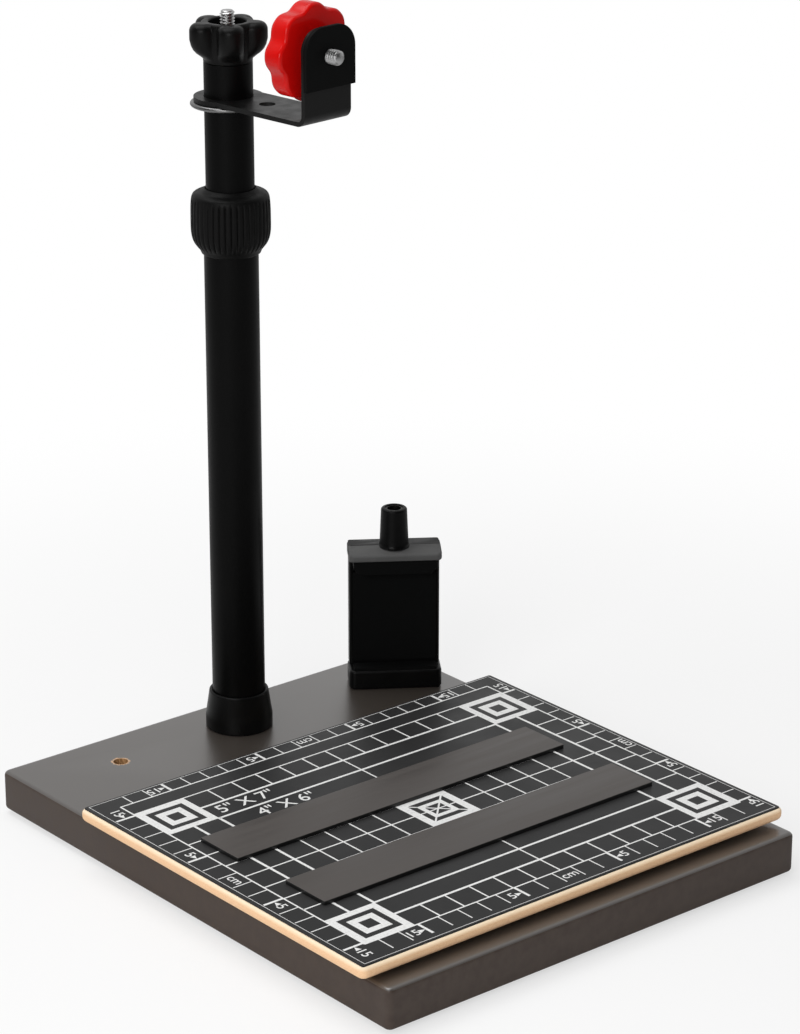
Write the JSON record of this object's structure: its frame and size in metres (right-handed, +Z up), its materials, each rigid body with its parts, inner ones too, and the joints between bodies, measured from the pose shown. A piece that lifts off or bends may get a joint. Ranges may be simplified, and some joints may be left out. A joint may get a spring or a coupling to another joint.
{
  "type": "tabletop copy stand",
  "caption": "Small tabletop copy stand: base board, printed work board with magnetic strips, telescopic twist-lock column, swivelling L bracket with clamping knob, and a phone clamp.",
  "frame": {"origin": "on the ground, under the middle of the base board's footprint", "axes": "+Z up, -Y towards the user's edge where the work board lies, column near the +Y edge, +X to the right seen from the front"},
  "size_m": [0.228, 0.264, 0.3538],
  "materials": {
    "taupe_laminate": "satin taupe melamine laminate, darker brown on the edges",
    "black_rubber": "matt black rubber",
    "zinc_steel": "zinc-plated steel",
    "black_plastic": "matt black moulded plastic",
    "black_tube_paint": "satin black paint on aluminium tube",
    "white_nylon": "natural nylon",
    "bright_steel": "bright plain steel",
    "brass": "turned brass",
    "black_plate_paint": "fine-textured black powder coat",
    "red_plastic": "glossy red moulded plastic",
    "beige_fibreboard": "beige wood-fibre board with eased edges",
    "printed_steel": "charcoal enamel with a white printed layout grid",
    "grey_magnet": "warm dark grey flexible magnet",
    "clamp_plastic": "matt black glass-filled plastic"
  },
  "bodies": {
    "base": {"base_board": "taupe_laminate", "base_feet": "black_rubber", "bolt_washer": "zinc_steel", "column_bolt": "zinc_steel", "column_foot": "black_plastic", "lower_tube": "black_tube_paint", "thread_sleeve": "black_plastic", "split_collet": "white_nylon"},
    "collar": {"lock_collar": "black_rubber"},
    "column_slider": {"guide_bush": "white_nylon"},
    "upper_column": {"upper_tube": "black_tube_paint", "bracket_rest_ring": "bright_steel", "tube_plug": "black_plastic", "top_stud": "bright_steel"},
    "lock_knob": {"top_knob": "black_plastic", "top_knob_insert": "brass"},
    "bracket": {"camera_bracket": "black_plate_paint", "grip_pad": "black_rubber"},
    "clamping_knob": {"red_knob": "red_plastic", "knob_screw": "bright_steel", "knob_washer": "white_nylon"},
    "work_board": {"work_board_core": "beige_fibreboard", "work_board_sheet": "printed_steel", "work_board_pads": "black_rubber"},
    "back_strip": {"magnet_strip_back": "grey_magnet"},
    "front_strip": {"magnet_strip_front": "grey_magnet"},
    "clamp_lower_jaw": {"clamp_slide_jaw": "clamp_plastic", "clamp_lower_pad": "black_rubber", "clamp_springs": "bright_steel"},
    "clamp_upper_jaw": {"clamp_body": "clamp_plastic", "clamp_insert": "brass", "clamp_back_cover": "clamp_plastic", "clamp_cover_screws": "zinc_steel", "clamp_upper_pad": "black_rubber", "clamp_face_pad": "black_rubber"}
  },
  "joints": [
    {"name": "collar_twist", "type": "hinge", "parent": "base", "child": "collar", "pos_m": [0, 0.1065, 0.238], "axis": [0, 0, 1], "range_deg": [0, 120]},
    {"name": "column_slide", "type": "slide", "parent": "base", "child": "column_slider", "axis": [0, 0, 1], "range_m": [-0.027, 0.16]},
    {"name": "column_turn", "type": "hinge", "parent": "column_slider", "child": "upper_column", "pos_m": [0, 0.1065, 0.07], "axis": [0, 0, 1], "continuous": true},
    {"name": "lock_knob_turn", "type": "hinge", "parent": "upper_column", "child": "lock_knob", "pos_m": [0, 0.1065, 0.3215], "axis": [0, 0, 1], "continuous": true},
    {"name": "bracket_swivel", "type": "hinge", "parent": "upper_column", "child": "bracket", "pos_m": [0, 0.1065, 0.3049], "axis": [0, 0, 1], "continuous": true},
    {"name": "clamping_knob_turn", "type": "hinge", "parent": "bracket", "child": "clamping_knob", "pos_m": [0.00622, 0.04733, 0.3329], "axis": [0.1045, -0.9945, 0], "continuous": true},
    {"name": "work_board_lift", "type": "slide", "parent": "base", "child": "work_board", "axis": [0, 0, 1], "range_m": [0, 0.06]},
    {"name": "back_strip_lift", "type": "slide", "parent": "work_board", "child": "back_strip", "axis": [0, 0, 1], "range_m": [0, 0.05]},
    {"name": "front_strip_lift", "type": "slide", "parent": "work_board", "child": "front_strip", "axis": [0, 0, 1], "range_m": [0, 0.05]},
    {"name": "phone_clamp_lift", "type": "slide", "parent": "base", "child": "clamp_lower_jaw", "axis": [0, 0, 1], "range_m": [0, 0.1]},
    {"name": "phone_clamp_open", "type": "slide", "parent": "clamp_lower_jaw", "child": "clamp_upper_jaw", "axis": [0, 0, 1], "range_m": [0, 0.028], "stiffness_N_per_m": 180, "springref_m": -0.006, "deforming": ["clamp_springs"]}
  ]
}
